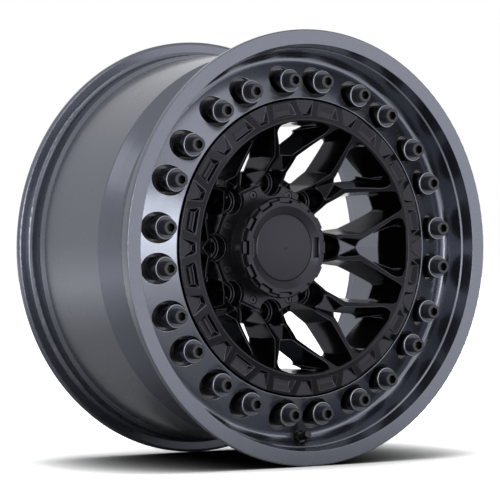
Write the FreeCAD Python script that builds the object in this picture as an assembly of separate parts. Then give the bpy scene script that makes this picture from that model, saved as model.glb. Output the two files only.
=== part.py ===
import FreeCAD, Part
import math
import os

Vec = FreeCAD.Vector

# Bare off-road alloy wheel for eight studs, upright, with its axle along Y and its face towards -Y.
# Sizes are millimetres. A depth is measured inboard from the front plane of the lip, and the origin
# lies on the axle at the face that meets the hub.

# Rim: its width and offset, then the steps of its section, whose radii follow from the centre's ring
rim_width = 254.0
flange_height = 17.5
flange_thick = 9.6
offset = -18.0
lip_width = 18.5
lip_step_height = 3.4
lip_step_depth = 16.0
lip_step_drop = 2.0
bead_seat_length = 18.0
bead_fillet = 5.0
hump_height = 1.0
bead_seat_step = 5.0
barrel_wall = 6.2
well_step = 18.0
well_wall = 7.0
well_length = 25.0
step_depth = 106.0
trough_wall = 7.2
trough_depth = 48.0
trough_fillet = 8.0
web_front_depth = 21.8
web_rear_depth = 58.0
rear_step_depth = 246.0
rear_step_height = 5.5
rear_flare = 12.5

# Bolt circle that joins the rim's web to the centre's flange
bolt_edge_distance = 13.3
bolt_to_web_bore = 22.3
bolt_pairs = 12
bolt_pair_half_angle = 6.8
bolt_shank_r = 5.95
bolt_length = 50.0
bolt_head_r = 9.2
bolt_head_height = 12.0
bolt_socket_flats = 10.0
bolt_socket_depth = 6.0
washer_r = 14.4
washer_thick = 2.5
washer_face_depth = 15.7
bolt_pocket_r = 18.3
bolt_pocket_depth = 43.0
bolt_pocket_edge = 0.9
bolt_hole_clearance = 0.6
tapped_hole_clearance = 0.05

# Centre: outer ring and flange
ring_outer_r = 184.8
ring_gap = 2.2
ring_width = 25.2
ring_outer_depth = 20.8
ring_inner_depth = 13.8
ring_rear_depth = 72.0
ring_rear_step = 8.6
flange_gap = 1.4
flange_plate_thick = 12.0
pilot_length = 8.0
pilot_clearance = 0.1
ring_hollow_inner_wall = 0.9
ring_hollow_outer_wall = 5.3
ring_hollow_depth = 38.0

# Centre: spokes and hub
spoke_count = 8
spoke_foot_depth = 98.06
spoke_rear_depth_at_hub = 127.0
hub_edge_distance = 16.45
hub_bore_r = 62.5
hub_seat_past_lugs = 0.45
hub_seat_depth = 100.0

# Windows, as outlines near the ring's face and at the depth of the ring's back. Their inner corners
# are measured from the lug circle and their outer edges from the ring's inner edge.
window_front_depth = 17.0
vee_window_waist_out = 29.95
vee_window_waist_half = 13.6
vee_window_edge = 1.4
vee_window_half_angle = 16.8
vee_window_rear_waist_out = 34.95
vee_window_rear_waist_half = 8.2
vee_window_rear_half_angle = 10.5
gap_window_inner_out = -0.55
gap_window_inner_half = 15.0
gap_window_shoulder_out = 12.45
gap_window_shoulder_half = 27.0
gap_window_waist_out = 28.95
gap_window_waist_half = 36.0
gap_window_edge = 1.9
gap_window_outer_half = 12.5
gap_window_rear_inner_out = -1.05
gap_window_rear_inner_half = 13.0
gap_window_rear_shoulder_out = 12.45
gap_window_rear_shoulder_half = 22.5
gap_window_rear_waist_out = 30.75
gap_window_rear_waist_half = 27.2
gap_window_rear_edge = 7.4
gap_window_rear_outer_half = 10.5
window_corner_r = 7.0
window_rear_corner_r = 5.0
window_waist_corner_r = 2.5
gap_window_corner_r = 5.0

# Three-cornered sunk floor in the crotch of each V, out from the lug circle and below the spoke's face
crotch_base_out = 15.45
crotch_base_half = 10.8
crotch_base_drop = 1.84
crotch_base_draft = 0.24
crotch_tip_out = 36.45
crotch_tip_drop = 12.44
crotch_tip_draft = 0.78
crotch_cut_height = 22.0

# Four-sided pockets in the face of the ring, measured from its inner and outer edges
ring_pocket_count = 16
ring_pocket_inner_edge = 6.0
ring_pocket_inner_half = 17.0
ring_pocket_outer_edge = 3.3
ring_pocket_outer_half = 12.6
ring_pocket_floor_drop = 1.5
ring_pocket_floor_inner_edge = 7.0
ring_pocket_floor_inner_half = 11.2
ring_pocket_floor_outer_edge = 12.0
ring_pocket_floor_outer_half = 10.6

# Tapered facets between those pockets, flush at the ring's outer edge
facet_inner_edge = 5.2
facet_inner_half = 6.5
facet_outer_half = 14.5
facet_floor_inner_edge = 7.9
facet_floor_inner_half = 3.0
facet_floor_drop = 0.8

# Lug holes
lug_circle_d = 165.1
lug_pocket_r = 16.8
lug_seat_depth = 116.0
lug_seat_r = 12.0
lug_hole_r = 8.0
lug_seat_slope = 1.732

# Centre cap
cap_r = 64.5
cap_shoulder_depth = 67.0
cap_ring_r = 60.2
cap_face_depth = 60.3
cap_ring_bore_r = 42.8
cap_band_outer_r = 52.5
cap_band_drop = 4.5
cap_slot_half = 12.8
cap_slot_inner_r = 44.5
cap_slot_outer_r = 50.8
cap_notch_count = 12
cap_notch_half = 8.9
cap_notch_depth = 4.2
cap_tooth_half = 7.7
cap_tooth_r = 63.4
cap_tooth_gap = 0.8
cap_tooth_depth = 63.6
cap_disc_clearance = 0.2
cap_disc_rise = 3.6
cap_disc_edge = 1.5
cap_wall = 3.0
cap_bore_r = 57.0
cap_body_rear_r = 60.5
cap_flange_thick = 6.0
cap_flange_across = 157.2
cap_lug_clearance = 0.5
cap_screw_circle_r = 71.5
cap_screw_head_r = 5.0
cap_screw_head_height = 3.2
cap_screw_shank_r = 2.95
cap_screw_length = 16.0
cap_screw_socket_flats = 4.0
cap_screw_socket_depth = 2.0
cap_screw_recess = 3.6
cap_screw_clearance = 0.6

# Tyre valve, along its own axis from its seat in the trough
valve_angle = 272.0
valve_seat_in = 1.3
valve_seat_forward = 1.4
valve_lean = 16.0
valve_hole_r = 5.75
valve_wall = 9.0
valve_seat_r = 9.2
valve_stem_r = 4.0
valve_stem_height = 22.0
valve_head_r = 8.4
valve_head_thick = 2.0
valve_air_r = 1.5
valve_chamber_r = 2.7
valve_chamber_floor = 5.5
grommet_thick = 2.5
grommet_sleeve = 6.0
valve_fit = 0.05
valve_washer_r = 8.2
valve_washer_thick = 1.2
valve_nut_flats = 13.4
valve_nut_height = 6.5
valve_cap_r = 4.8
valve_cap_skirt = 12.0
valve_cap_end = 1.6
valve_cap_seal_thick = 0.8
valve_cap_flute_count = 16
valve_cap_flute_r = 0.3
core_seat_height = 9.6
core_seal_height = 2.0
core_body_height = 8.0
core_body_bore_r = 1.2
core_pin_r = 0.5
core_pin_tip_drop = 0.4
core_bridge = 1.2
core_ledge = 0.8
core_collar_r = 1.1
core_collar_thick = 0.8
core_plug_r = 1.9
core_plug_thick = 1.2
core_spring_wire_r = 0.16
core_spring_turns = 6
core_spring_end_gap = 0.05

# Radii and depths that follow, from the ring's outer edge both ways and from the lug circle outwards
overall_width = rim_width + 2.0 * flange_thick
hub_face_depth = overall_width / 2.0 - offset
web_bore_r = ring_outer_r + ring_gap
bolt_circle_r = web_bore_r + bolt_to_web_bore
flange_outer_r = bolt_circle_r + bolt_edge_distance
under_well_r = flange_outer_r + flange_gap
well_r = under_well_r + well_wall
barrel_r = well_r + well_step
trough_r = barrel_r - trough_wall
bead_r = barrel_r + bead_seat_step
flange_r = bead_r + flange_height
lip_inner_r = flange_r - lip_width
lip_step_r = lip_inner_r - lip_step_height
ring_inner_r = ring_outer_r - ring_width
ring_rear_inner_r = ring_inner_r - ring_rear_step
ring_face_slope = (ring_outer_depth - ring_inner_depth) / ring_width
lug_circle_r = lug_circle_d / 2.0
hub_r = lug_circle_r + hub_edge_distance
hub_seat_r = lug_circle_r + hub_seat_past_lugs
spoke_face_slope = (spoke_foot_depth - ring_inner_depth) / (ring_inner_r - hub_seat_r)
flange_rear_depth = web_rear_depth + flange_plate_thick
cap_flange_depth = hub_seat_depth - cap_flange_thick
valve_r = trough_r - valve_seat_in
valve_seat_depth = trough_depth - valve_seat_forward
bead_taper = math.tan(math.radians(5.0))
in_front = 5.0


def rounded_wire(corners, to_space):
    """Closed wire through (u, v, radius) corners, each corner rounded by its radius."""
    stops = []
    count = len(corners)
    for index in range(count):
        here = Vec(corners[index][0], corners[index][1], 0)
        before = Vec(corners[index - 1][0], corners[index - 1][1], 0) - here
        after = Vec(corners[(index + 1) % count][0], corners[(index + 1) % count][1], 0) - here
        radius = corners[index][2]
        before.normalize()
        after.normalize()
        half = before.getAngle(after) / 2.0
        inward = before + after
        if radius == 0 or inward.Length < 1e-6:
            stops.append((here, here, here))
            continue
        inward.normalize()
        reach = radius / math.tan(half)
        crown = here + inward * (radius / math.sin(half) - radius)
        stops.append((here + before * reach, crown, here + after * reach))
    edges = []
    for index in range(count):
        start, crown, end = [to_space(point.x, point.y) for point in stops[index]]
        last = to_space(stops[index - 1][2].x, stops[index - 1][2].y)
        if last.distanceToPoint(start) > 1e-6:
            edges.append(Part.makeLine(last, start))
        if start.distanceToPoint(end) > 1e-6:
            edges.append(Part.Arc(start, crown, end).toShape())
    return Part.Wire(edges)


def turned(corners):
    """Solid turned about the axle from (radius, depth, corner radius) points."""
    wire = rounded_wire(corners, lambda radius, depth: Vec(radius, depth - hub_face_depth, 0))
    return Part.Face(wire).revolve(Vec(0, 0, 0), Vec(0, 1, 0), 360)


def at_angle(shape, degrees):
    """Copy of a shape made at +X, turned round the axle towards +Z."""
    copy = shape.copy()
    copy.rotate(Vec(0, 0, 0), Vec(0, -1, 0), degrees)
    return copy


def repeated(shape, angles):
    return [at_angle(shape, degrees) for degrees in angles]


def even_angles(count, first=0.0):
    return [first + 360.0 * index / count for index in range(count)]


def axle_cylinder(radius, front_depth, rear_depth, out=0.0):
    """Cylinder parallel to the axle, its centre at a distance out along +X."""
    base = Vec(out, front_depth - hub_face_depth, 0)
    return Part.makeCylinder(radius, rear_depth - front_depth, base, Vec(0, 1, 0))


def loft_at(depth_a, corners_a, depth_b, corners_b):
    """Solid between two outlines of (radial, sideways, corner radius) points at two depths."""
    wire_a = rounded_wire(corners_a, lambda u, v: Vec(u, depth_a - hub_face_depth, v))
    wire_b = rounded_wire(corners_b, lambda u, v: Vec(u, depth_b - hub_face_depth, v))
    return Part.makeLoft([wire_a, wire_b], True, True)


def mirrored(corners, crown):
    """Outline made whole from its +v half, with the corners that lie on its axis at the far end."""
    return corners + crown + [(u, -v, radius) for u, v, radius in reversed(corners)]


def hexagon(flats, front_depth, rear_depth, out):
    """Hexagonal prism parallel to the axle, at a distance out along +X."""
    corner_r = flats / math.sqrt(3.0)
    points = [Vec(out + corner_r * math.cos(math.radians(angle)),
                  front_depth - hub_face_depth,
                  corner_r * math.sin(math.radians(angle))) for angle in range(0, 420, 60)]
    face = Part.Face(Part.makePolygon(points))
    return face.extrude(Vec(0, rear_depth - front_depth, 0))


def polyhedron(points, faces):
    """Closed solid from corner points and the corner numbers of its flat faces."""
    sides = [Part.Face(Part.makePolygon([points[number] for number in face + face[:1]])) for face in faces]
    solid = Part.Solid(Part.Shell(sides))
    if solid.Volume < 0:
        solid.reverse()
    return solid


def save(name, shape):
    for solid in shape.Solids:
        if not solid.isValid() or solid.Volume <= 0:
            raise ValueError(name + " is not a sound solid")
    shape.exportStep("parts/" + name + ".step")
    print(name, len(shape.Solids), round(shape.Volume / 1000.0, 2), "cm3")


bolt_angles = []
for pair_angle in even_angles(bolt_pairs):
    bolt_angles += [pair_angle - bolt_pair_half_angle, pair_angle + bolt_pair_half_angle]
lug_angles = even_angles(spoke_count)
between_lugs = even_angles(spoke_count, 180.0 / spoke_count)

# Valve axis: the seat lies in the trough near the bottom of the wheel, and the stem leans to the axle
lean = math.radians(valve_lean)
valve_out = FreeCAD.Rotation(Vec(0, -1, 0), valve_angle).multVec(Vec(1, 0, 0))
valve_seat = valve_out * valve_r + Vec(0, valve_seat_depth - hub_face_depth, 0)
valve_axis = valve_out * -math.sin(lean) + Vec(0, -math.cos(lean), 0)
valve_turn = FreeCAD.Rotation(Vec(0, 0, 1), valve_axis)
valve_place = FreeCAD.Placement(valve_seat, valve_turn)


def on_valve(shape):
    placed = shape.copy()
    placed.Placement = valve_place.multiply(placed.Placement)
    return placed


def valve_turned(corners):
    """Solid turned about the valve's axis from (radius, height, corner radius) points."""
    wire = rounded_wire(corners, lambda radius, height: Vec(radius, 0, height))
    return on_valve(Part.Face(wire).revolve(Vec(0, 0, 0), Vec(0, 0, 1), 360))


def valve_cylinder(radius, low, high):
    return on_valve(Part.makeCylinder(radius, high - low, Vec(0, 0, low)))


# Rim: flanges, bead seats, drop well, barrel, deep lip and the sloping web for the bolts
def make_rim():
    seat_end_r = bead_r - bead_seat_length * bead_taper
    front_seat_end = flange_thick + bead_seat_length
    rear_wall = flange_thick + rim_width
    rear_seat_end = rear_wall - bead_seat_length
    well_front = web_rear_depth + 1.0
    well_rear = well_front + well_length
    well_wall_rise = math.tan(lean) * (barrel_r - well_r)
    inner_r = barrel_r - barrel_wall
    rear_lip_r = inner_r + rear_step_height
    outline = [
        (lip_inner_r, 0, 0.8),
        (flange_r, 0, 1.4),
        (flange_r, flange_thick, 4.5),
        (bead_r, flange_thick, bead_fillet),
        (seat_end_r, front_seat_end, 1.5),
        (seat_end_r + hump_height, front_seat_end + 4.0, 2.0),
        (barrel_r + 1.0, front_seat_end + 9.0, 3.0),
        (barrel_r, well_front - well_wall_rise, 5.0),
        (well_r, well_front, 6.0),
        (well_r, well_rear, 8.0),
        ((well_r + barrel_r) / 2.0 + 1.0, step_depth - 9.0, 6.0),
        (barrel_r, step_depth, 3.0),
        (barrel_r + 1.0, rear_seat_end - 9.0, 3.0),
        (seat_end_r + hump_height, rear_seat_end - 4.0, 2.0),
        (seat_end_r, rear_seat_end, 1.5),
        (bead_r, rear_wall, bead_fillet),
        (flange_r, rear_wall, 3.5),
        (flange_r, overall_width, 4.5),
        (rear_lip_r + rear_flare, overall_width, 3.0),
        (rear_lip_r, overall_width - rear_flare, 4.0),
        (rear_lip_r, rear_step_depth, 1.0),
        (inner_r, rear_step_depth - 2.0, 1.5),
        (inner_r, step_depth + 5.0, 6.0),
        (under_well_r, well_rear + 6.0, 8.0),
        (under_well_r, web_rear_depth, 2.0),
        (web_bore_r, web_rear_depth, 0.8),
        (web_bore_r, web_front_depth, 1.0),
        (trough_r, trough_depth, trough_fillet),
        (lip_step_r - lip_step_drop, lip_step_depth + 1.5, 0.6),
        (lip_step_r, lip_step_depth, 0.5),
    ]
    rim = turned(outline)
    boss_top = washer_face_depth + washer_thick
    boss = axle_cylinder(washer_r, boss_top, bolt_pocket_depth, bolt_circle_r)
    pocket = axle_cylinder(bolt_pocket_r, in_front, bolt_pocket_depth, bolt_circle_r)
    hole_r = bolt_shank_r + bolt_hole_clearance
    hole = axle_cylinder(hole_r, in_front, web_rear_depth + in_front, bolt_circle_r)
    rim = rim.cut(repeated(pocket, bolt_angles))
    rims = [edge for edge in rim.Edges if on_pocket_rim(edge)]
    rim = rim.makeFillet(bolt_pocket_edge, rims)
    rim = rim.fuse(repeated(boss, bolt_angles))
    rim = rim.cut(repeated(hole, bolt_angles))
    seat_clear = valve_cylinder(valve_seat_r, 0, trough_depth)
    well_clear = valve_cylinder(valve_seat_r, -valve_wall - well_length / 2.0, -valve_wall)
    valve_hole = valve_cylinder(valve_hole_r, -valve_wall - well_length / 2.0, trough_depth)
    rim = rim.cut([seat_clear, well_clear, valve_hole])
    return rim.removeSplitter()


def on_pocket_rim(edge):
    """True for the edge where a bolt pocket breaks through the sloping face of the web."""
    middle = edge.valueAt((edge.FirstParameter + edge.LastParameter) / 2.0)
    if middle.y + hub_face_depth > bolt_pocket_depth - 0.5:
        return False
    if edge.Length < bolt_pocket_r * 2.0:
        return False
    gaps = []
    for degrees in bolt_angles:
        turn = math.radians(degrees)
        out = Vec(bolt_circle_r * math.cos(turn), middle.y, bolt_circle_r * math.sin(turn))
        gaps.append(abs(middle.distanceToPoint(out) - bolt_pocket_r))
    return min(gaps) < 0.05


# Centre: hub pad, V spokes, pocketed ring and the flange that is bolted behind the rim's web
def spoke_face_depth(radius):
    return ring_inner_depth + (ring_inner_r - radius) * spoke_face_slope


def ring_face_depth(radius):
    return ring_inner_depth + (radius - ring_inner_r) * ring_face_slope


def vee_window():
    """Outlines of the opening between the two arms of a V, symmetric about +X."""
    front = math.radians(vee_window_half_angle)
    rear = math.radians(vee_window_rear_half_angle)
    outer_r = ring_inner_r - vee_window_edge
    front_half = [
        (lug_circle_r + vee_window_waist_out, vee_window_waist_half, window_waist_corner_r),
        (outer_r * math.cos(front), outer_r * math.sin(front), window_corner_r),
    ]
    rear_half = [
        (lug_circle_r + vee_window_rear_waist_out, vee_window_rear_waist_half, window_waist_corner_r),
        (ring_rear_inner_r * math.cos(rear), ring_rear_inner_r * math.sin(rear), window_rear_corner_r),
    ]
    front_crown = [(outer_r, 0, outer_r)]
    rear_crown = [(ring_rear_inner_r, 0, ring_rear_inner_r)]
    return mirrored(front_half, front_crown), mirrored(rear_half, rear_crown)


def gap_window():
    """Outlines of the opening between two neighbouring V spokes, symmetric about +X."""
    front_half = [
        (lug_circle_r + gap_window_inner_out, gap_window_inner_half, gap_window_corner_r),
        (lug_circle_r + gap_window_shoulder_out, gap_window_shoulder_half, gap_window_corner_r),
        (lug_circle_r + gap_window_waist_out, gap_window_waist_half, gap_window_corner_r),
        (ring_inner_r - gap_window_edge, gap_window_outer_half, window_corner_r),
    ]
    rear_half = [
        (lug_circle_r + gap_window_rear_inner_out, gap_window_rear_inner_half, gap_window_corner_r),
        (lug_circle_r + gap_window_rear_shoulder_out, gap_window_rear_shoulder_half, gap_window_corner_r),
        (lug_circle_r + gap_window_rear_waist_out, gap_window_rear_waist_half, gap_window_corner_r),
        (ring_inner_r - gap_window_rear_edge, gap_window_rear_outer_half, window_rear_corner_r),
    ]
    return mirrored(front_half, []), mirrored(rear_half, [])


def carried_on(front_outline, rear_outline, depth):
    """Outline at another depth on the straight lines that join the corners of two outlines."""
    share = (depth - window_front_depth) / (ring_rear_depth - window_front_depth)
    corners = []
    for front, rear in zip(front_outline, rear_outline):
        u = front[0] + (rear[0] - front[0]) * share
        v = front[1] + (rear[1] - front[1]) * share
        corners.append((u, v, front[2] + (rear[2] - front[2]) * share))
    return corners


def window_cutter(outlines):
    front_depth = in_front
    rear_depth = spoke_rear_depth_at_hub + in_front
    return loft_at(front_depth, carried_on(*outlines, front_depth),
                   rear_depth, carried_on(*outlines, rear_depth))


def frustum(low_half, high_half):
    """Four-sided block between two levels, each given by its inner and outer (radial, half, depth)."""
    points = []
    for inner, outer in (low_half, high_half):
        for u, v, depth in ((inner[0], -inner[1], inner[2]), (outer[0], -outer[1], outer[2]),
                            (outer[0], outer[1], outer[2]), (inner[0], inner[1], inner[2])):
            points.append(Vec(u, depth - hub_face_depth, v))
    faces = [[0, 1, 2, 3], [7, 6, 5, 4], [1, 5, 6, 2], [3, 7, 4, 0]]
    faces += [[0, 4, 1], [1, 4, 5], [3, 2, 7], [2, 6, 7]]
    return polyhedron(points, faces)


def crotch_cutter():
    """Wedge that leaves a three-cornered sloping floor between the inner legs of a V."""
    rise = crotch_cut_height
    base_r = lug_circle_r + crotch_base_out
    base_depth = spoke_face_depth(base_r) + crotch_base_drop
    tip_r = lug_circle_r + crotch_tip_out
    tip_depth = spoke_face_depth(tip_r) + crotch_tip_drop

    def corner(u, v, depth):
        return Vec(u, depth - hub_face_depth, v)

    top_half = crotch_base_half + rise * crotch_base_draft
    tip_half = rise * crotch_tip_draft
    points = [
        corner(base_r, -crotch_base_half, base_depth),
        corner(base_r, crotch_base_half, base_depth),
        corner(tip_r, 0, tip_depth),
        corner(base_r, -top_half, base_depth - rise),
        corner(base_r, top_half, base_depth - rise),
        corner(tip_r, -tip_half, tip_depth - rise),
        corner(tip_r, tip_half, tip_depth - rise),
    ]
    faces = [[0, 2, 1], [3, 4, 6, 5], [0, 1, 4, 3], [1, 2, 6], [1, 6, 4], [0, 5, 2], [0, 3, 5], [2, 5, 6]]
    return polyhedron(points, faces)


def ring_pocket_cutter():
    """Four-sided pocket in the ring's face, with a broad sloping outer wall."""
    floor_depth = ring_outer_depth + ring_pocket_floor_drop
    inner_r = ring_inner_r + ring_pocket_inner_edge
    outer_r = ring_outer_r - ring_pocket_outer_edge
    low_inner = (ring_inner_r + ring_pocket_floor_inner_edge, ring_pocket_floor_inner_half, floor_depth)
    low_outer = (ring_outer_r - ring_pocket_floor_outer_edge, ring_pocket_floor_outer_half, floor_depth)
    open_inner = (inner_r, ring_pocket_inner_half, ring_face_depth(inner_r))
    open_outer = (outer_r, ring_pocket_outer_half, ring_face_depth(outer_r))
    high_inner = [edge + (edge - low) * 0.6 for edge, low in zip(open_inner, low_inner)]
    high_outer = [edge + (edge - low) * 0.6 for edge, low in zip(open_outer, low_outer)]
    return frustum((low_inner, low_outer), (high_inner, high_outer))


def facet_cutter():
    """Tapered facet in the ring's face, deepest at its narrow inner end."""
    past = 1.5
    outer_r = ring_outer_r + past
    facet_inner_r = ring_inner_r + facet_inner_edge
    floor_inner_r = ring_inner_r + facet_floor_inner_edge
    edge_depth = ring_face_depth(ring_outer_r)
    low_inner = (floor_inner_r, facet_floor_inner_half, edge_depth + facet_floor_drop)
    low_outer = (outer_r, facet_outer_half, edge_depth - facet_floor_drop * past / ring_outer_r)
    open_depth = ring_face_depth(facet_inner_r)
    reach = (low_inner[2] - in_front) / (low_inner[2] - open_depth)
    high_inner = (floor_inner_r + (facet_inner_r - floor_inner_r) * reach,
                  facet_floor_inner_half + (facet_inner_half - facet_floor_inner_half) * reach,
                  in_front)
    high_outer = (outer_r, facet_outer_half + past, in_front)
    return frustum((low_inner, low_outer), (high_inner, high_outer))


def ring_hollow():
    """Groove in the back of the ring that lightens it."""
    inner_r = ring_inner_r + ring_hollow_inner_wall
    outer_r = ring_outer_r - ring_hollow_outer_wall
    return turned([
        (inner_r, ring_hollow_depth, 5.0),
        (outer_r, ring_hollow_depth, 5.0),
        (outer_r, ring_rear_depth + in_front, 0),
        (inner_r, ring_rear_depth + in_front, 0),
    ])


def make_centre():
    outline = [
        (hub_bore_r, hub_face_depth, 0),
        (hub_r, hub_face_depth, 2.0),
        (hub_r, spoke_rear_depth_at_hub, 6.0),
        (ring_rear_inner_r, ring_rear_depth + 2.0, 3.0),
        (ring_rear_inner_r + 2.0, ring_rear_depth, 2.0),
        (ring_outer_r + 2.0, ring_rear_depth, 2.0),
        (ring_outer_r + 8.0, flange_rear_depth, 3.0),
        (flange_outer_r, flange_rear_depth, 1.5),
        (flange_outer_r, web_rear_depth, 1.0),
        (web_bore_r - pilot_clearance, web_rear_depth, 0),
        (web_bore_r - pilot_clearance, web_rear_depth - pilot_length, 0.5),
        (ring_outer_r, web_rear_depth - pilot_length - 1.5, 0),
        (ring_outer_r, ring_outer_depth, 0.8),
        (ring_inner_r, ring_inner_depth, 1.2),
        (hub_seat_r, spoke_face_depth(hub_seat_r), 0),
        (hub_seat_r, hub_seat_depth, 0),
        (hub_bore_r, hub_seat_depth, 0),
    ]
    centre = turned(outline)
    windows = repeated(window_cutter(vee_window()), lug_angles)
    windows += repeated(window_cutter(gap_window()), between_lugs)
    centre = centre.cut(windows)
    centre = centre.cut(repeated(crotch_cutter(), lug_angles))
    pocket = axle_cylinder(lug_pocket_r, in_front, lug_seat_depth, lug_circle_r)
    seat_length = (lug_seat_r - lug_hole_r) * lug_seat_slope
    seat_base = Vec(lug_circle_r, lug_seat_depth - hub_face_depth, 0)
    seat = Part.makeCone(lug_seat_r, lug_hole_r, seat_length, seat_base, Vec(0, 1, 0))
    hole = axle_cylinder(lug_hole_r, lug_seat_depth, hub_face_depth + in_front, lug_circle_r)
    centre = centre.cut(repeated(pocket, lug_angles))
    centre = centre.cut(repeated(seat, lug_angles) + repeated(hole, lug_angles))
    pocket_angles = even_angles(ring_pocket_count, 180.0 / ring_pocket_count)
    centre = centre.cut(repeated(ring_pocket_cutter(), pocket_angles))
    centre = centre.cut(repeated(facet_cutter(), even_angles(ring_pocket_count)))
    centre = centre.cut(ring_hollow())
    bolt_hole_r = bolt_shank_r + tapped_hole_clearance
    bolt_hole_end = flange_rear_depth + in_front
    bolt_hole = axle_cylinder(bolt_hole_r, web_rear_depth - in_front, bolt_hole_end, bolt_circle_r)
    screw_hole_r = cap_screw_shank_r + tapped_hole_clearance
    screw_end = cap_flange_depth + cap_screw_recess + cap_screw_length + 1.0
    screw_hole = axle_cylinder(screw_hole_r, hub_seat_depth - in_front, screw_end, cap_screw_circle_r)
    centre = centre.cut(repeated(bolt_hole, bolt_angles) + repeated(screw_hole, between_lugs))
    return centre.removeSplitter()


# Fasteners: socket head screws, parallel to the axle, at a distance out along +X
def socket_screw(out, seat_depth, head_r, head_height, shank_r, length, flats, socket_depth, edge):
    top = seat_depth - head_height
    head = axle_cylinder(head_r, top, seat_depth, out)
    top_y = top - hub_face_depth
    head = head.makeFillet(edge, [rim for rim in head.Edges if abs(rim.BoundBox.YMax - top_y) < 1e-6])
    shank = axle_cylinder(shank_r, seat_depth, seat_depth + length, out)
    socket = hexagon(flats, top - 1.0, top + socket_depth, out)
    return head.fuse(shank).cut(socket).removeSplitter()


def make_ring_bolts():
    bolt = socket_screw(bolt_circle_r, washer_face_depth, bolt_head_r, bolt_head_height, bolt_shank_r,
                        bolt_length, bolt_socket_flats, bolt_socket_depth, 1.2)
    return Part.makeCompound(repeated(bolt, bolt_angles))


def make_ring_washers():
    disc = axle_cylinder(washer_r, washer_face_depth, washer_face_depth + washer_thick, bolt_circle_r)
    front_edges = []
    for edge in disc.Edges:
        if abs(edge.BoundBox.YMax + hub_face_depth - washer_face_depth) < 1e-6:
            front_edges.append(edge)
    disc = disc.makeFillet(0.8, front_edges)
    hole_r = bolt_shank_r + bolt_hole_clearance
    hole = axle_cylinder(hole_r, in_front, web_rear_depth, bolt_circle_r)
    return Part.makeCompound(repeated(disc.cut(hole), bolt_angles))


# Centre cap: hollow housing with a lobed flange, notched front ring, domed plate and screws
def make_cap_base():
    body = turned([
        (0, cap_shoulder_depth, 0),
        (cap_r - 1.5, cap_shoulder_depth, 0.5),
        (cap_r, cap_shoulder_depth + 1.5, 1.0),
        (cap_body_rear_r, cap_flange_depth, 0),
        (cap_body_rear_r, hub_seat_depth, 0),
        (cap_bore_r, hub_seat_depth, 0),
        (cap_bore_r, cap_shoulder_depth + cap_wall, 2.0),
        (0, cap_shoulder_depth + cap_wall, 0),
    ])
    corner_r = cap_flange_across / 2.0 / math.cos(math.pi / spoke_count)
    points = []
    plate_y = cap_flange_depth - hub_face_depth
    for degrees in even_angles(spoke_count) + [0.0]:
        turn = math.radians(degrees)
        points.append(Vec(corner_r * math.cos(turn), plate_y, corner_r * math.sin(turn)))
    plate = Part.Face(Part.makePolygon(points)).extrude(Vec(0, cap_flange_thick, 0))
    lug_r = lug_pocket_r + cap_lug_clearance
    lug_clear = axle_cylinder(lug_r, cap_face_depth, hub_face_depth, lug_circle_r)
    plate = plate.cut(repeated(lug_clear, lug_angles))
    plate = plate.cut(axle_cylinder(cap_bore_r, cap_face_depth, hub_face_depth))
    head_clear = axle_cylinder(cap_screw_head_r + cap_screw_clearance, cap_face_depth,
                               cap_flange_depth + cap_screw_recess, cap_screw_circle_r)
    shank_clear = axle_cylinder(cap_screw_shank_r + cap_screw_clearance / 2.0, cap_face_depth,
                                hub_face_depth, cap_screw_circle_r)
    base = body.fuse([plate] + cap_teeth())
    base = base.cut(repeated(head_clear, between_lugs) + repeated(shank_clear, between_lugs))
    return base.removeSplitter()


def cap_teeth():
    """Blocks on the shoulder of the housing that stand in the notches of the front ring."""
    root_r = cap_ring_r - cap_notch_depth + cap_tooth_gap
    height = cap_shoulder_depth + 1.0 - cap_tooth_depth
    block = Part.makeBox(cap_r - root_r, height, 2.0 * cap_tooth_half,
                         Vec(root_r, cap_tooth_depth - hub_face_depth, -cap_tooth_half))
    round_edge = axle_cylinder(cap_tooth_r, cap_face_depth, hub_face_depth)
    block = block.common(round_edge)
    front = cap_tooth_depth - hub_face_depth
    block = block.makeFillet(0.6, [edge for edge in block.Edges if edge.BoundBox.YMax < front + 1e-6])
    return repeated(block, even_angles(cap_notch_count))


def make_cap_ring():
    band_depth = cap_face_depth + cap_band_drop
    ring = turned([
        (cap_ring_bore_r, band_depth, 0.3),
        (cap_band_outer_r, cap_face_depth, 0.4),
        (cap_ring_r, cap_face_depth, 1.0),
        (cap_ring_r, cap_shoulder_depth, 0),
        (cap_ring_bore_r, cap_shoulder_depth, 0),
    ])
    slot = Part.makeBox(cap_slot_outer_r - cap_slot_inner_r, cap_band_drop, 2.0 * cap_slot_half,
                        Vec(cap_slot_inner_r, cap_face_depth - hub_face_depth, -cap_slot_half))
    notch_length = cap_shoulder_depth - cap_face_depth + 2.0
    notch_y = cap_face_depth - hub_face_depth - 1.0
    notch = Part.makeBox(cap_notch_depth + 1.0, notch_length, 2.0 * cap_notch_half,
                         Vec(cap_ring_r - cap_notch_depth, notch_y, -cap_notch_half))
    ring = ring.cut(repeated(slot, even_angles(2)) + repeated(notch, even_angles(cap_notch_count)))
    return ring.removeSplitter()


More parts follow.
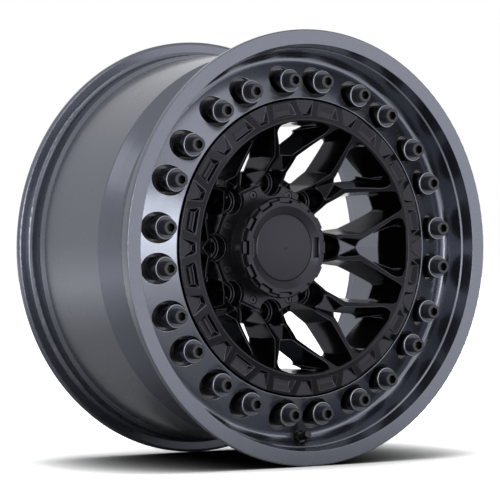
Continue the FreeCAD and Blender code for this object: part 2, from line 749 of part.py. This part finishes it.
def make_cap_disc():
    disc_r = cap_ring_bore_r - cap_disc_clearance
    edge_depth = cap_face_depth + cap_band_drop
    crown_r = disc_r - cap_disc_edge
    crown_depth = edge_depth - cap_disc_edge / 2.0
    top_depth = edge_depth - cap_disc_rise
    rise = crown_depth - top_depth
    dome_r = (crown_r ** 2 + rise ** 2) / (2.0 * rise)
    half = math.asin(crown_r / dome_r) / 2.0

    def point(radius, depth):
        return Vec(radius, depth - hub_face_depth, 0)

    top = point(0, top_depth)
    shoulder = point(crown_r, crown_depth)
    middle = point(dome_r * math.sin(half), top_depth + dome_r * (1.0 - math.cos(half)))
    edge = point(disc_r, edge_depth)
    low_edge = point(disc_r, cap_shoulder_depth)
    low_mid = point(0, cap_shoulder_depth)
    wire = Part.Wire([
        Part.Arc(top, middle, shoulder).toShape(),
        Part.makeLine(shoulder, edge),
        Part.makeLine(edge, low_edge),
        Part.makeLine(low_edge, low_mid),
        Part.makeLine(low_mid, top),
    ])
    return Part.Face(wire).revolve(Vec(0, 0, 0), Vec(0, 1, 0), 360)


def make_cap_screws():
    screw = socket_screw(cap_screw_circle_r, cap_flange_depth + cap_screw_recess, cap_screw_head_r,
                         cap_screw_head_height, cap_screw_shank_r, cap_screw_length,
                         cap_screw_socket_flats, cap_screw_socket_depth, 0.5)
    return Part.makeCompound(repeated(screw, between_lugs))


# Tyre valve: clamped through the trough, with its core, pin, spring and screw cap
def make_valve_stem():
    head_top = -valve_wall - grommet_thick
    head_low = head_top - valve_head_thick
    stem = valve_turned([
        (valve_air_r, head_low, 0),
        (valve_head_r, head_low, 0.6),
        (valve_head_r, head_top, 0.3),
        (valve_stem_r, head_top, 0),
        (valve_stem_r, valve_stem_height, 0.4),
        (valve_chamber_r, valve_stem_height, 0),
        (valve_chamber_r, core_seat_height + core_seal_height, 0),
        (valve_chamber_r - 0.5, core_seat_height, 0),
        (valve_chamber_r - 0.5, valve_chamber_floor, 0),
        (valve_air_r, valve_chamber_floor - 1.0, 0),
    ])
    return stem


def make_valve_grommet():
    inner = valve_stem_r + valve_fit
    return valve_turned([
        (inner, -valve_wall - grommet_thick, 0),
        (valve_head_r, -valve_wall - grommet_thick, 0.3),
        (valve_head_r, -valve_wall, 0.3),
        (valve_hole_r - valve_fit, -valve_wall, 0),
        (valve_hole_r - valve_fit, -valve_wall + grommet_sleeve, 0.3),
        (inner, -valve_wall + grommet_sleeve, 0),
    ])


def make_valve_washer():
    inner = valve_stem_r + valve_fit
    return valve_turned([
        (inner, 0, 0),
        (valve_washer_r, 0, 0.2),
        (valve_washer_r, valve_washer_thick, 0.3),
        (inner, valve_washer_thick, 0),
    ])


def make_valve_nut():
    corner_r = valve_nut_flats / math.sqrt(3.0)
    points = []
    for index in range(7):
        turn = math.radians(60.0 * index)
        points.append(Vec(corner_r * math.cos(turn), corner_r * math.sin(turn), valve_washer_thick))
    block = Part.Face(Part.makePolygon(points)).extrude(Vec(0, 0, valve_nut_height))
    nut_top = valve_washer_thick + valve_nut_height
    crown = Part.makeCone(corner_r + 0.6 * valve_nut_height, corner_r - 0.9, valve_nut_height,
                          Vec(0, 0, valve_washer_thick))
    hole = Part.makeCylinder(valve_stem_r + valve_fit, nut_top + 1.0, Vec(0, 0, 0))
    return on_valve(block.common(crown).cut(hole))


def make_valve_cap():
    seal_top = valve_stem_height + valve_cap_seal_thick
    top = seal_top + valve_cap_end
    skirt = top - valve_cap_skirt
    bore = valve_stem_r + valve_fit
    cap = valve_turned([
        (bore, skirt, 0.2),
        (valve_cap_r, skirt, 0.5),
        (valve_cap_r, top, 0.8),
        (0, top, 0),
        (0, seal_top, 0),
        (bore, seal_top, 0),
    ])
    flutes = []
    for degrees in even_angles(valve_cap_flute_count):
        turn = math.radians(degrees)
        centre = Vec(valve_cap_r * math.cos(turn), valve_cap_r * math.sin(turn), skirt - 1.0)
        flutes.append(on_valve(Part.makeCylinder(valve_cap_flute_r, valve_cap_skirt - 1.0, centre)))
    return cap.cut(flutes)


def make_valve_cap_seal():
    seal_top = valve_stem_height + valve_cap_seal_thick
    return valve_cylinder(valve_stem_r - valve_fit, valve_stem_height, seal_top)


def core_heights():
    """Heights of the core's barrel: its low end on the seal and its high end."""
    low = core_seat_height + core_seal_height
    return low, low + core_body_height


def make_core_body():
    low, high = core_heights()
    outer = valve_chamber_r - valve_fit
    pin_clear = core_pin_r + valve_fit
    return valve_turned([
        (pin_clear, low, 0),
        (outer, low, 0),
        (outer, high, 0.3),
        (pin_clear, high, 0),
        (pin_clear, high - core_bridge, 0),
        (core_body_bore_r, high - core_bridge, 0),
        (core_body_bore_r, low + core_ledge, 0),
        (pin_clear, low + core_ledge, 0),
    ])


def make_core_seal():
    low, high = core_heights()
    return valve_turned([
        (core_body_bore_r, core_seat_height, 0),
        (valve_chamber_r - 0.5 - valve_fit, core_seat_height, 0),
        (valve_chamber_r - valve_fit, low, 0),
        (core_body_bore_r, low, 0),
    ])


def make_core_plug():
    top = core_seat_height - valve_fit
    return valve_turned([
        (core_pin_r, top - core_plug_thick, 0),
        (core_plug_r, top - core_plug_thick, 0.2),
        (core_plug_r, top, 0.2),
        (core_pin_r, top, 0),
    ])


def collar_heights():
    """Heights of the pin's collar, which the spring lifts towards the bridge of the core's barrel."""
    low, high = core_heights()
    top = high - core_bridge - valve_fit
    return top - core_collar_thick, top


def make_core_pin():
    collar_low, collar_top = collar_heights()
    low_end = core_seat_height - valve_fit - core_plug_thick
    return valve_turned([
        (0, low_end, 0),
        (core_pin_r, low_end, 0),
        (core_pin_r, collar_low, 0),
        (core_collar_r, collar_low, 0),
        (core_collar_r, collar_top, 0),
        (core_pin_r, collar_top, 0),
        (core_pin_r, valve_stem_height - core_pin_tip_drop, 0.15),
        (0, valve_stem_height - core_pin_tip_drop, 0),
    ])


def make_core_spring():
    low, high = core_heights()
    collar_low, collar_top = collar_heights()
    start = low + core_ledge + core_spring_wire_r + core_spring_end_gap
    end = collar_low - core_spring_wire_r - core_spring_end_gap
    coil_r = (core_pin_r + core_body_bore_r) / 2.0
    path = Part.makeHelix((end - start) / core_spring_turns, end - start, coil_r)
    ring = Part.Wire(Part.makeCircle(core_spring_wire_r, Vec(coil_r, 0, 0), Vec(0, 1, 0)))
    coil = Part.Wire(path).makePipeShell([ring], True, True)
    coil.translate(Vec(0, 0, start))
    return on_valve(coil)


os.makedirs("parts", exist_ok=True)
save("rim", make_rim())
save("centre", make_centre())
save("ring_bolts", make_ring_bolts())
save("ring_washers", make_ring_washers())
save("cap_base", make_cap_base())
save("cap_ring", make_cap_ring())
save("cap_disc", make_cap_disc())
save("cap_screws", make_cap_screws())
save("valve_stem", make_valve_stem())
save("valve_grommet", make_valve_grommet())
save("valve_washer", make_valve_washer())
save("valve_nut", make_valve_nut())
save("valve_cap", make_valve_cap())
save("valve_cap_seal", make_valve_cap_seal())
save("core_body", make_core_body())
save("core_seal", make_core_seal())
save("core_plug", make_core_plug())
save("core_pin", make_core_pin())
save("core_spring", make_core_spring())
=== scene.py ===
import bpy
import math
from mathutils import Matrix, Vector


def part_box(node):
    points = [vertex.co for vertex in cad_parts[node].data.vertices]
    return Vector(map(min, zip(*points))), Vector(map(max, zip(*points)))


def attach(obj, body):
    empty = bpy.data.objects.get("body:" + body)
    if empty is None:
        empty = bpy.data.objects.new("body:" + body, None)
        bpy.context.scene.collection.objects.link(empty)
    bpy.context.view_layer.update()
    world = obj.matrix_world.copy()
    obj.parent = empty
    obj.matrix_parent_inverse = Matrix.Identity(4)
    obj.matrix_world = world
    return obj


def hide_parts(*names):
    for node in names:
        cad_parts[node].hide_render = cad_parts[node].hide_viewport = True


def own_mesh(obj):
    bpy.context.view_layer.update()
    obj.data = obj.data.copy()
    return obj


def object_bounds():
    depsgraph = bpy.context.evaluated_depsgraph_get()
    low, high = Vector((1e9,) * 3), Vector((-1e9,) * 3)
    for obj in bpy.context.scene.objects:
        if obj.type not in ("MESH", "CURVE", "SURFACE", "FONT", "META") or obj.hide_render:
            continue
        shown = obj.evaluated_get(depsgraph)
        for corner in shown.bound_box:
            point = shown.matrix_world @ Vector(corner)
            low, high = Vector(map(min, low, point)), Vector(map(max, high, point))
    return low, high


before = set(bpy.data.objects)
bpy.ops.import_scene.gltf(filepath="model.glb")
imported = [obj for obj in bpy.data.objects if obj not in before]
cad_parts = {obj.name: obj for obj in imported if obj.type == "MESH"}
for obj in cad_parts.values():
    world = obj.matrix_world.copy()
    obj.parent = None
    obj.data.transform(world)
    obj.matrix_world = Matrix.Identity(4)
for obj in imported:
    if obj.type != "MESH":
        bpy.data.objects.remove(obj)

cad_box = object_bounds()

# Rim: the outer barrel of the wheel with both tyre flanges, the deep front lip and the sloping web
# that the centre is bolted to. One aluminium casting, machined where the tyre seals, and sprayed
# with a satin gunmetal paint; inside the counterbores round the bolts it is coloured near black
# and not metallic.
bolt_circle_radius = 0.2093
bolt_pair_spacing = math.radians(30.0)
bolt_from_pair_middle = math.radians(6.8)
counterbore_radius = 0.01825
# Metal flake is some 0.05 mm across; it is drawn at 0.7 mm so that it shows
paint_flake = 0.000714
paint_cloud = 0.025
orange_peel = 0.002


def linear(hex_colour):
    """Linear RGBA of an sRGB hex colour."""
    parts = [int(hex_colour[place:place + 2], 16) / 255.0 for place in (1, 3, 5)]
    return [
        part / 12.92 if part <= 0.04045 else ((part + 0.055) / 1.055) ** 2.4
        for part in parts] + [1.0]


def add(tree, kind, inputs=None, **settings):
    """Adds a node, sets its properties, and fills its inputs with values or links."""
    node = tree.nodes.new(kind)
    for name, value in settings.items():
        setattr(node, name, value)
    for name, value in (inputs or {}).items():
        if isinstance(value, bpy.types.NodeSocket):
            tree.links.new(value, node.inputs[name])
        else:
            node.inputs[name].default_value = value
    return node


def new_material(name):
    """Empty node material with its output, as (material, tree, output)."""
    material = bpy.data.materials.new(name)
    material.use_nodes = True
    tree = material.node_tree
    tree.nodes.clear()
    return material, tree, add(tree, "ShaderNodeOutputMaterial")


def wear(node_name, material):
    """Puts a material on every slot of a CAD node."""
    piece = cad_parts[node_name]
    if not piece.material_slots:
        piece.data.materials.append(material)
    for place in piece.material_slots:
        place.material = material


def bolt_distance(tree, position):
    """Distance of a point from the axis of the nearest ring bolt, measured square to the axle."""
    axes = add(tree, "ShaderNodeSeparateXYZ", {0: position}).outputs
    angle = add(tree, "ShaderNodeMath", {0: axes["Z"], 1: axes["X"]}, operation="ARCTAN2").outputs[0]
    folded = add(tree, "ShaderNodeMath", {0: angle, 1: bolt_pair_spacing / 2.0},
                 operation="PINGPONG").outputs[0]
    swing = add(tree, "ShaderNodeMath", {0: folded, 1: bolt_from_pair_middle},
                operation="SUBTRACT").outputs[0]
    flat = add(tree, "ShaderNodeCombineXYZ", {"X": axes["X"], "Y": axes["Z"]}).outputs[0]
    out = add(tree, "ShaderNodeVectorMath", {0: flat}, operation="LENGTH").outputs["Value"]
    cosine = add(tree, "ShaderNodeMath", {0: swing}, operation="COSINE").outputs[0]
    sine = add(tree, "ShaderNodeMath", {0: swing}, operation="SINE").outputs[0]
    along = add(tree, "ShaderNodeMath", {0: out, 1: cosine}, operation="MULTIPLY").outputs[0]
    across = add(tree, "ShaderNodeMath", {0: out, 1: sine}, operation="MULTIPLY").outputs[0]
    away = add(tree, "ShaderNodeMath", {0: along, 1: bolt_circle_radius},
               operation="SUBTRACT").outputs[0]
    offset = add(tree, "ShaderNodeCombineXYZ", {"X": away, "Y": across}).outputs[0]
    return add(tree, "ShaderNodeVectorMath", {0: offset}, operation="LENGTH").outputs["Value"]


def gunmetal_paint():
    """Satin gunmetal metallic paint: grey flake under a thin clear coat, with a faint orange peel."""
    material, tree, output = new_material("gunmetal_metallic_paint")
    position = add(tree, "ShaderNodeTexCoord").outputs["Object"]
    flake = add(tree, "ShaderNodeTexNoise", {
        "Vector": position, "Scale": 1.0 / paint_flake, "Detail": 2.0}).outputs["Fac"]
    tint = add(tree, "ShaderNodeMix", {"Factor": flake, "A": linear("#53565F"), "B": linear("#666974")},
               data_type="RGBA").outputs["Result"]
    near = bolt_distance(tree, position)
    # Near black and not metallic inside the counterbores round the bolts
    bore = add(tree, "ShaderNodeMath", {0: near, 1: counterbore_radius},
               operation="LESS_THAN").outputs[0]
    colour = add(tree, "ShaderNodeMix", {"Factor": bore, "A": tint, "B": linear("#050506")},
                 data_type="RGBA").outputs["Result"]
    cloud = add(tree, "ShaderNodeTexNoise", {
        "Vector": position, "Scale": 1.0 / paint_cloud, "Detail": 4.0}).outputs["Fac"]
    rough = add(tree, "ShaderNodeMapRange", {
        "Value": cloud, "To Min": 0.23, "To Max": 0.30}).outputs["Result"]
    metal = add(tree, "ShaderNodeMapRange", {
        "Value": bore, "To Min": 0.9, "To Max": 0.0}).outputs["Result"]
    peel = add(tree, "ShaderNodeTexNoise", {
        "Vector": position, "Scale": 1.0 / orange_peel, "Detail": 1.0}).outputs["Fac"]
    bump = add(tree, "ShaderNodeBump", {
        "Height": peel, "Strength": 0.03, "Distance": 0.0003}).outputs["Normal"]
    shader = add(tree, "ShaderNodeBsdfPrincipled", {
        "Base Color": colour, "Metallic": metal, "Roughness": rough, "Normal": bump,
        "Coat Weight": 0.3, "Coat Roughness": 0.1})
    tree.links.new(shader.outputs["BSDF"], output.inputs["Surface"])
    return material


wear("rim", gunmetal_paint())


# Centre: the black spoke disc with eight V spokes, a pocketed outer ring and the hub pad. One
# aluminium casting, shot-blasted and sprayed satin black, bolted behind the web of the rim.
black_cloud = 0.0167
blasted_grain = 0.000526
cast_corner_radius = 0.0025


def satin_black_paint():
    """Satin black paint on a blasted casting: even, slightly cloudy gloss, a fine grain and a painted
    highlight on the corners.
    """
    material, tree, output = new_material("satin_black_paint")
    position = add(tree, "ShaderNodeTexCoord").outputs["Object"]
    cloud = add(tree, "ShaderNodeTexNoise", {
        "Vector": position, "Scale": 1.0 / black_cloud, "Detail": 5.0}).outputs["Fac"]
    black = add(tree, "ShaderNodeMix", {"Factor": cloud, "A": linear("#030304"), "B": linear("#060607")},
                data_type="RGBA").outputs["Result"]
    rough = add(tree, "ShaderNodeMapRange", {
        "Value": cloud, "To Min": 0.12, "To Max": 0.18}).outputs["Result"]
    grain = add(tree, "ShaderNodeTexNoise", {
        "Vector": position, "Scale": 1.0 / blasted_grain, "Detail": 1.0}).outputs["Fac"]
    # Casting and paint round every corner
    soft_edge = add(tree, "ShaderNodeBevel", {"Radius": cast_corner_radius}, samples=8).outputs["Normal"]
    # Corners are painted a lighter grey as a highlight, where an edge catches the light
    face = add(tree, "ShaderNodeNewGeometry").outputs["Normal"]
    evenness = add(tree, "ShaderNodeVectorMath", {0: soft_edge, 1: face},
                   operation="DOT_PRODUCT").outputs["Value"]
    painted_corner_highlight = add(tree, "ShaderNodeMapRange", {
        "Value": evenness, "From Min": 0.99, "From Max": 0.80, "To Max": 0.8}).outputs["Result"]
    colour = add(tree, "ShaderNodeMix", {"Factor": painted_corner_highlight, "A": black, "B": linear("#64646E")},
                 data_type="RGBA").outputs["Result"]
    bump = add(tree, "ShaderNodeBump", {
        "Height": grain, "Strength": 0.05, "Distance": 0.0003, "Normal": soft_edge}).outputs["Normal"]
    shader = add(tree, "ShaderNodeBsdfPrincipled", {
        "Base Color": colour, "Roughness": rough, "Normal": bump, "IOR": 1.42,
        "Specular IOR Level": 0.4, "Specular Tint": linear("#EBEAFF")})
    tree.links.new(shader.outputs["BSDF"], output.inputs["Surface"])
    return material


wear("centre", satin_black_paint())


# Ring washers: thick washers that spread the load of the ring bolts on the web's bosses. Turned
# from steel bar and zinc-plated black; a bright ring is painted on the outer corner as a highlight.
washer_radius = 0.0144
washer_highlight_width = 0.0008
plating_marks = 0.00111


def black_zinc():
    """Black zinc plate: a smoky grey metal, with a painted highlight along the outer corner."""
    material, tree, output = new_material("black_zinc_plate")
    position = add(tree, "ShaderNodeTexCoord").outputs["Object"]
    marks = add(tree, "ShaderNodeTexNoise", {
        "Vector": position, "Scale": 1.0 / plating_marks, "Detail": 3.0}).outputs["Fac"]
    plate = add(tree, "ShaderNodeMix", {"Factor": marks, "A": linear("#3A3C42"), "B": linear("#4B4D54")},
                data_type="RGBA").outputs["Result"]
    near = bolt_distance(tree, position)
    # Painted highlight: a bright ring along the washer's outer corner
    corner = add(tree, "ShaderNodeMath", {0: near, 1: washer_radius - washer_highlight_width},
                 operation="GREATER_THAN").outputs[0]
    colour = add(tree, "ShaderNodeMix", {"Factor": corner, "A": plate, "B": linear("#9A9DA5")},
                 data_type="RGBA").outputs["Result"]
    rough = add(tree, "ShaderNodeMapRange", {
        "Value": marks, "To Min": 0.28, "To Max": 0.40}).outputs["Result"]
    shader = add(tree, "ShaderNodeBsdfPrincipled", {
        "Base Color": colour, "Metallic": 1.0, "Roughness": rough})
    tree.links.new(shader.outputs["BSDF"], output.inputs["Surface"])
    return material


wear("ring_washers", black_zinc())


# Ring bolts and cap screws: socket head screws of hardened steel, headed and rolled, then dipped
# for a black oxide skin. The ring bolts join rim and centre; the small ones hold the cap.
socket_edge = 0.0004
bolt_face_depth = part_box("ring_bolts")[0][1] + socket_edge
bolt_socket_reach = 0.0062
oxide_stain = 0.002


def black_oxide():
    """Black oxide on steel: dark grey metal with a painted highlight on its edges and painted shade, near
    black, in the ring bolts' sockets.
    """
    material, tree, output = new_material("black_oxide_steel")
    position = add(tree, "ShaderNodeTexCoord").outputs["Object"]
    stain = add(tree, "ShaderNodeTexNoise", {
        "Vector": position, "Scale": 1.0 / oxide_stain, "Detail": 4.0}).outputs["Fac"]
    # Painted highlight: sharp edges are coloured a lighter grey
    edge = add(tree, "ShaderNodeNewGeometry").outputs["Pointiness"]
    painted_edge_glint = add(tree, "ShaderNodeMapRange", {
        "Value": edge, "From Min": 0.52, "From Max": 0.62}).outputs["Result"]
    dark = add(tree, "ShaderNodeMix", {"Factor": stain, "A": linear("#2C2C31"), "B": linear("#3C3C42")},
               data_type="RGBA").outputs["Result"]
    glinting_oxide = add(tree, "ShaderNodeMix", {"Factor": painted_edge_glint, "A": dark, "B": linear("#5A5A61")},
               data_type="RGBA").outputs["Result"]
    # Painted shade: near black inside the ring bolts' hex sockets
    near = add(tree, "ShaderNodeMath", {0: bolt_distance(tree, position), 1: bolt_socket_reach},
               operation="LESS_THAN").outputs[0]
    depth = add(tree, "ShaderNodeSeparateXYZ", {0: position}).outputs["Y"]
    behind = add(tree, "ShaderNodeMath", {0: depth, 1: bolt_face_depth},
                 operation="GREATER_THAN").outputs[0]
    socket_shade = add(tree, "ShaderNodeMath", {0: near, 1: behind}, operation="MULTIPLY").outputs[0]
    colour = add(tree, "ShaderNodeMix", {"Factor": socket_shade, "A": glinting_oxide, "B": linear("#040405")},
                 data_type="RGBA").outputs["Result"]
    rough = add(tree, "ShaderNodeMapRange", {
        "Value": stain, "To Min": 0.30, "To Max": 0.42}).outputs["Result"]
    shader = add(tree, "ShaderNodeBsdfPrincipled", {
        "Base Color": colour, "Metallic": 0.7, "Roughness": rough})
    tree.links.new(shader.outputs["BSDF"], output.inputs["Surface"])
    return material


oxide = black_oxide()
wear("ring_bolts", oxide)
wear("cap_screws", oxide)


# Centre cap: a hollow housing with a lobed flange, a notched front ring and a domed plate, all
# moulded from black ABS. Eight small screws hold its flange to the hub pad between the lug pockets.
# Spark-eroded grain is some 0.1 mm; it is drawn at 0.67 mm so that it shows
mould_grain = 0.000667
mould_corner_radius = 0.0006


def moulded_black():
    """Moulded ABS with a fine spark-eroded grain, charcoal black and satin."""
    material, tree, output = new_material("moulded_black_abs")
    position = add(tree, "ShaderNodeTexCoord").outputs["Object"]
    grain = add(tree, "ShaderNodeTexNoise", {
        "Vector": position, "Scale": 1.0 / mould_grain, "Detail": 2.0}).outputs["Fac"]
    colour = add(tree, "ShaderNodeMix", {
        "Factor": grain, "A": linear("#0A0A0C"), "B": linear("#101012")},
        data_type="RGBA").outputs["Result"]
    rough = add(tree, "ShaderNodeMapRange", {
        "Value": grain, "To Min": 0.27, "To Max": 0.35}).outputs["Result"]
    soft_edge = add(tree, "ShaderNodeBevel", {"Radius": mould_corner_radius}, samples=6).outputs["Normal"]
    bump = add(tree, "ShaderNodeBump", {
        "Height": grain, "Strength": 0.08, "Distance": 0.0002, "Normal": soft_edge}).outputs["Normal"]
    shader = add(tree, "ShaderNodeBsdfPrincipled", {
        "Base Color": colour, "Roughness": rough, "Normal": bump, "IOR": 1.48,
        "Specular IOR Level": 0.4, "Specular Tint": linear("#EBEAFF")})
    tree.links.new(shader.outputs["BSDF"], output.inputs["Surface"])
    return material


cap_black = moulded_black()
for cap_piece in ("cap_base", "cap_ring", "cap_disc"):
    wear(cap_piece, cap_black)


# Tyre valve: a stem clamped through the trough by a nut and washer, with a fluted screw cap, all
# turned from aluminium and anodised black.
# Tool marks are some 0.1 mm apart; they are drawn at 0.4 mm so that they show
tool_marks = 0.0004


def black_anodised():
    """Black anodised aluminium: satin, with faint tool marks."""
    material, tree, output = new_material("black_anodised_aluminium")
    position = add(tree, "ShaderNodeTexCoord").outputs["Object"]
    tool = add(tree, "ShaderNodeTexNoise", {
        "Vector": position, "Scale": 1.0 / tool_marks, "Detail": 2.0}).outputs["Fac"]
    colour = add(tree, "ShaderNodeMix", {"Factor": tool, "A": linear("#161618"), "B": linear("#222225")},
                 data_type="RGBA").outputs["Result"]
    rough = add(tree, "ShaderNodeMapRange", {
        "Value": tool, "To Min": 0.26, "To Max": 0.38}).outputs["Result"]
    shader = add(tree, "ShaderNodeBsdfPrincipled", {
        "Base Color": colour, "Metallic": 0.4, "Roughness": rough})
    tree.links.new(shader.outputs["BSDF"], output.inputs["Surface"])
    return material


anodised = black_anodised()
for valve_piece in ("valve_stem", "valve_washer", "valve_nut", "valve_cap"):
    wear(valve_piece, anodised)


# Valve seals: the grommet on the tyre side, the disc in the valve cap, and the core's ring and
# plug. Moulded from black rubber.
rubber_bloom = 0.00125


def seal_rubber():
    """Black seal rubber: matt, with a soft bloom."""
    material, tree, output = new_material("black_seal_rubber")
    position = add(tree, "ShaderNodeTexCoord").outputs["Object"]
    bloom = add(tree, "ShaderNodeTexNoise", {
        "Vector": position, "Scale": 1.0 / rubber_bloom, "Detail": 3.0}).outputs["Fac"]
    colour = add(tree, "ShaderNodeMix", {
        "Factor": bloom, "A": linear("#141414"), "B": linear("#1F1F20")},
        data_type="RGBA").outputs["Result"]
    shader = add(tree, "ShaderNodeBsdfPrincipled", {"Base Color": colour, "Roughness": 0.8})
    tree.links.new(shader.outputs["BSDF"], output.inputs["Surface"])
    return material


rubber = seal_rubber()
for seal in ("valve_grommet", "valve_cap_seal", "core_seal", "core_plug"):
    wear(seal, rubber)


# Valve core: a barrel screwed into the stem, with a pin that slides in it. Both are turned from
# brass bar and left bare.
metal_tone = 0.000333


def turned_metal(name, low, high, roughness):
    """Bare turned or drawn metal, a little uneven in tone."""
    material, tree, output = new_material(name)
    position = add(tree, "ShaderNodeTexCoord").outputs["Object"]
    tone = add(tree, "ShaderNodeTexNoise", {
        "Vector": position, "Scale": 1.0 / metal_tone, "Detail": 2.0}).outputs["Fac"]
    colour = add(tree, "ShaderNodeMix", {"Factor": tone, "A": linear(low), "B": linear(high)},
                 data_type="RGBA").outputs["Result"]
    shader = add(tree, "ShaderNodeBsdfPrincipled", {
        "Base Color": colour, "Metallic": 1.0, "Roughness": roughness})
    tree.links.new(shader.outputs["BSDF"], output.inputs["Surface"])
    return material


brass = turned_metal("turned_brass", "#B58F45", "#CFAA60", 0.28)
wear("core_body", brass)
wear("core_pin", brass)


# Return spring of the valve core: drawn steel wire, coiled round the pin. Its inner end stands on
# the core's ledge; in the valve the pin's collar shortens it by the pin's whole stroke, but here it
# is one copy of the part's mesh, fixed to the wheel at one length.
merge_distance = 0.000001
bpy.ops.object.select_all(action="DESELECT")
spring = bpy.data.objects.new("return_spring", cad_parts["core_spring"].data.copy())
bpy.context.scene.collection.objects.link(spring)
bpy.context.view_layer.objects.active = spring
spring.select_set(True)
bpy.ops.object.mode_set(mode="EDIT")
bpy.ops.mesh.select_all(action="SELECT")
bpy.ops.mesh.remove_doubles(threshold=merge_distance)
bpy.ops.object.mode_set(mode="OBJECT")
spring.data.materials.clear()
spring.data.materials.append(turned_metal("spring_steel_wire", "#A6A7A9", "#BFC0C2", 0.25))
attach(spring, "wheel")
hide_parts("core_spring")
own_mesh(spring)


# Floor: a pale, matt studio floor under the wheel. It takes the wheel's soft shadow, deepened by a
# painted contact shadow close under the wheel, and away from the wheel it fades to white.
floor_half = 12.0
floor_gap = 0.0004
floor_paleness = 0.65
floor_lift = 2.6
fade_start = 0.45
fade_end = 1.1
contact_reach = 0.2
contact_power = 2.0


def background_rays(tree):
    """Rays that look straight at the background, and those together with rays from mirrors."""
    path = add(tree, "ShaderNodeLightPath").outputs
    straight = add(tree, "ShaderNodeMath", {
        0: path["Is Camera Ray"], 1: path["Is Transmission Ray"]}, operation="MAXIMUM").outputs[0]
    seen = add(tree, "ShaderNodeMath", {0: straight, 1: path["Is Glossy Ray"]},
               operation="MAXIMUM").outputs[0]
    return straight, seen


bpy.ops.object.select_all(action="DESELECT")
bpy.ops.mesh.primitive_plane_add(size=2.0 * floor_half, location=(0, 0, cad_box[0][2] - floor_gap))
floor = bpy.context.active_object
floor.name = "studio_floor"
bpy.ops.object.transform_apply(location=True, rotation=True, scale=True)
floor_paint, floor_tree, floor_output = new_material("pale_studio_floor")
floor_place = add(floor_tree, "ShaderNodeTexCoord").outputs["Object"]
floor_middle = (0.0, 0.0, cad_box[0][2])
reach = add(floor_tree, "ShaderNodeVectorMath", {0: floor_place, 1: floor_middle},
            operation="DISTANCE").outputs["Value"]
fade = add(floor_tree, "ShaderNodeMapRange", {
    "Value": reach, "From Min": fade_start, "From Max": fade_end}).outputs["Result"]
# Lifted for the camera, so that only the shadow shows, with a painted contact shadow that is dark
# where the wheel stands close over it; far off it glows white for the camera and in mirrors, as the
# surround does
floor_straight, floor_seen = background_rays(floor_tree)
closeness = add(floor_tree, "ShaderNodeAmbientOcclusion", {"Distance": contact_reach},
                samples=16).outputs["AO"]
contact_shadow_factor = add(floor_tree, "ShaderNodeMath", {0: closeness, 1: contact_power},
               operation="POWER").outputs[0]
lifted = add(floor_tree, "ShaderNodeMath", {0: contact_shadow_factor, 1: floor_lift}, operation="MULTIPLY").outputs[0]
paleness = add(floor_tree, "ShaderNodeMix", {
    "Factor": floor_straight, "A": floor_paleness, "B": lifted}).outputs["Result"]
matt = add(floor_tree, "ShaderNodeBsdfDiffuse", {"Color": paleness}).outputs[0]
glow_level = add(floor_tree, "ShaderNodeMath", {0: floor_seen, 1: fade}, operation="MULTIPLY").outputs[0]
glow = add(floor_tree, "ShaderNodeEmission", {"Strength": glow_level}).outputs[0]
both = add(floor_tree, "ShaderNodeAddShader", {0: matt, 1: glow}).outputs[0]
floor_tree.links.new(both, floor_output.inputs["Surface"])
floor.data.materials.append(floor_paint)


# Studio light: a white surround, which the camera and the paint's reflections see at full strength,
# with soft lamps at the front for the bright sides and one overhead for the shadow. The overhead
# lamp is kept out of reflections.
surround_light = 0.18
surround_white = 1.0
world = bpy.data.worlds.new("studio_surround")
bpy.context.scene.world = world
world.use_nodes = True
surround = world.node_tree
surround.nodes.clear()
surround_seen = background_rays(surround)[1]
level = add(surround, "ShaderNodeMapRange", {
    "Value": surround_seen, "To Min": surround_light, "To Max": surround_white}).outputs["Result"]
sky = add(surround, "ShaderNodeBackground", {"Color": (1, 1, 1, 1), "Strength": level}).outputs[0]
surround.links.new(sky, add(surround, "ShaderNodeOutputWorld").inputs["Surface"])


def soft_lamp(name, place, size, watts):
    """Square soft lamp at a place, turned to the middle of the wheel."""
    lamp = bpy.data.lights.new(name, "AREA")
    lamp.size = size
    lamp.energy = watts
    holder = bpy.data.objects.new(name, lamp)
    bpy.context.scene.collection.objects.link(holder)
    holder.location = place
    holder.rotation_euler = (-Vector(place)).to_track_quat("-Z", "Y").to_euler()
    return holder


soft_lamp("front_left", place=(-1.0, -3.3, 0.25), size=1.3, watts=36.0)
soft_lamp("front_right", place=(1.9, -2.8, 0.0), size=2.2, watts=16.0)
soft_lamp("front_high", place=(0.0, -2.7, 1.9), size=1.6, watts=11.0)
soft_lamp("left", place=(-2.4, -1.1, 1.9), size=1.2, watts=6.0)
overhead = soft_lamp("overhead", place=(-0.4, -0.3, 2.4), size=2.2, watts=50.0)
overhead.visible_glossy = False


# Camera: a long lens, level with the wheel's axle and 34 degrees to its left. Its place and lens are
# fitted to the edges of both flanges in the photograph.
camera_place = (-1.90291, -2.82391, 0.01207)
camera_azimuth = math.radians(-34.096)
camera_elevation = math.radians(0.260)
camera = bpy.data.cameras.new("studio_camera")
camera.sensor_width = 36.0
camera.lens = 189.77
camera.clip_end = 60.0
tripod = bpy.data.objects.new("studio_camera", camera)
bpy.context.scene.collection.objects.link(tripod)
back = Vector((
    math.sin(camera_azimuth) * math.cos(camera_elevation),
    -math.cos(camera_azimuth) * math.cos(camera_elevation),
    math.sin(camera_elevation)))
right = Vector((0, 0, 1)).cross(back).normalized()
up = back.cross(right)
turn = Matrix((right, up, back)).transposed().to_4x4()
turn.translation = Vector(camera_place)
tripod.matrix_world = turn
bpy.context.scene.camera = tripod
bpy.context.scene.view_settings.view_transform = "Standard"
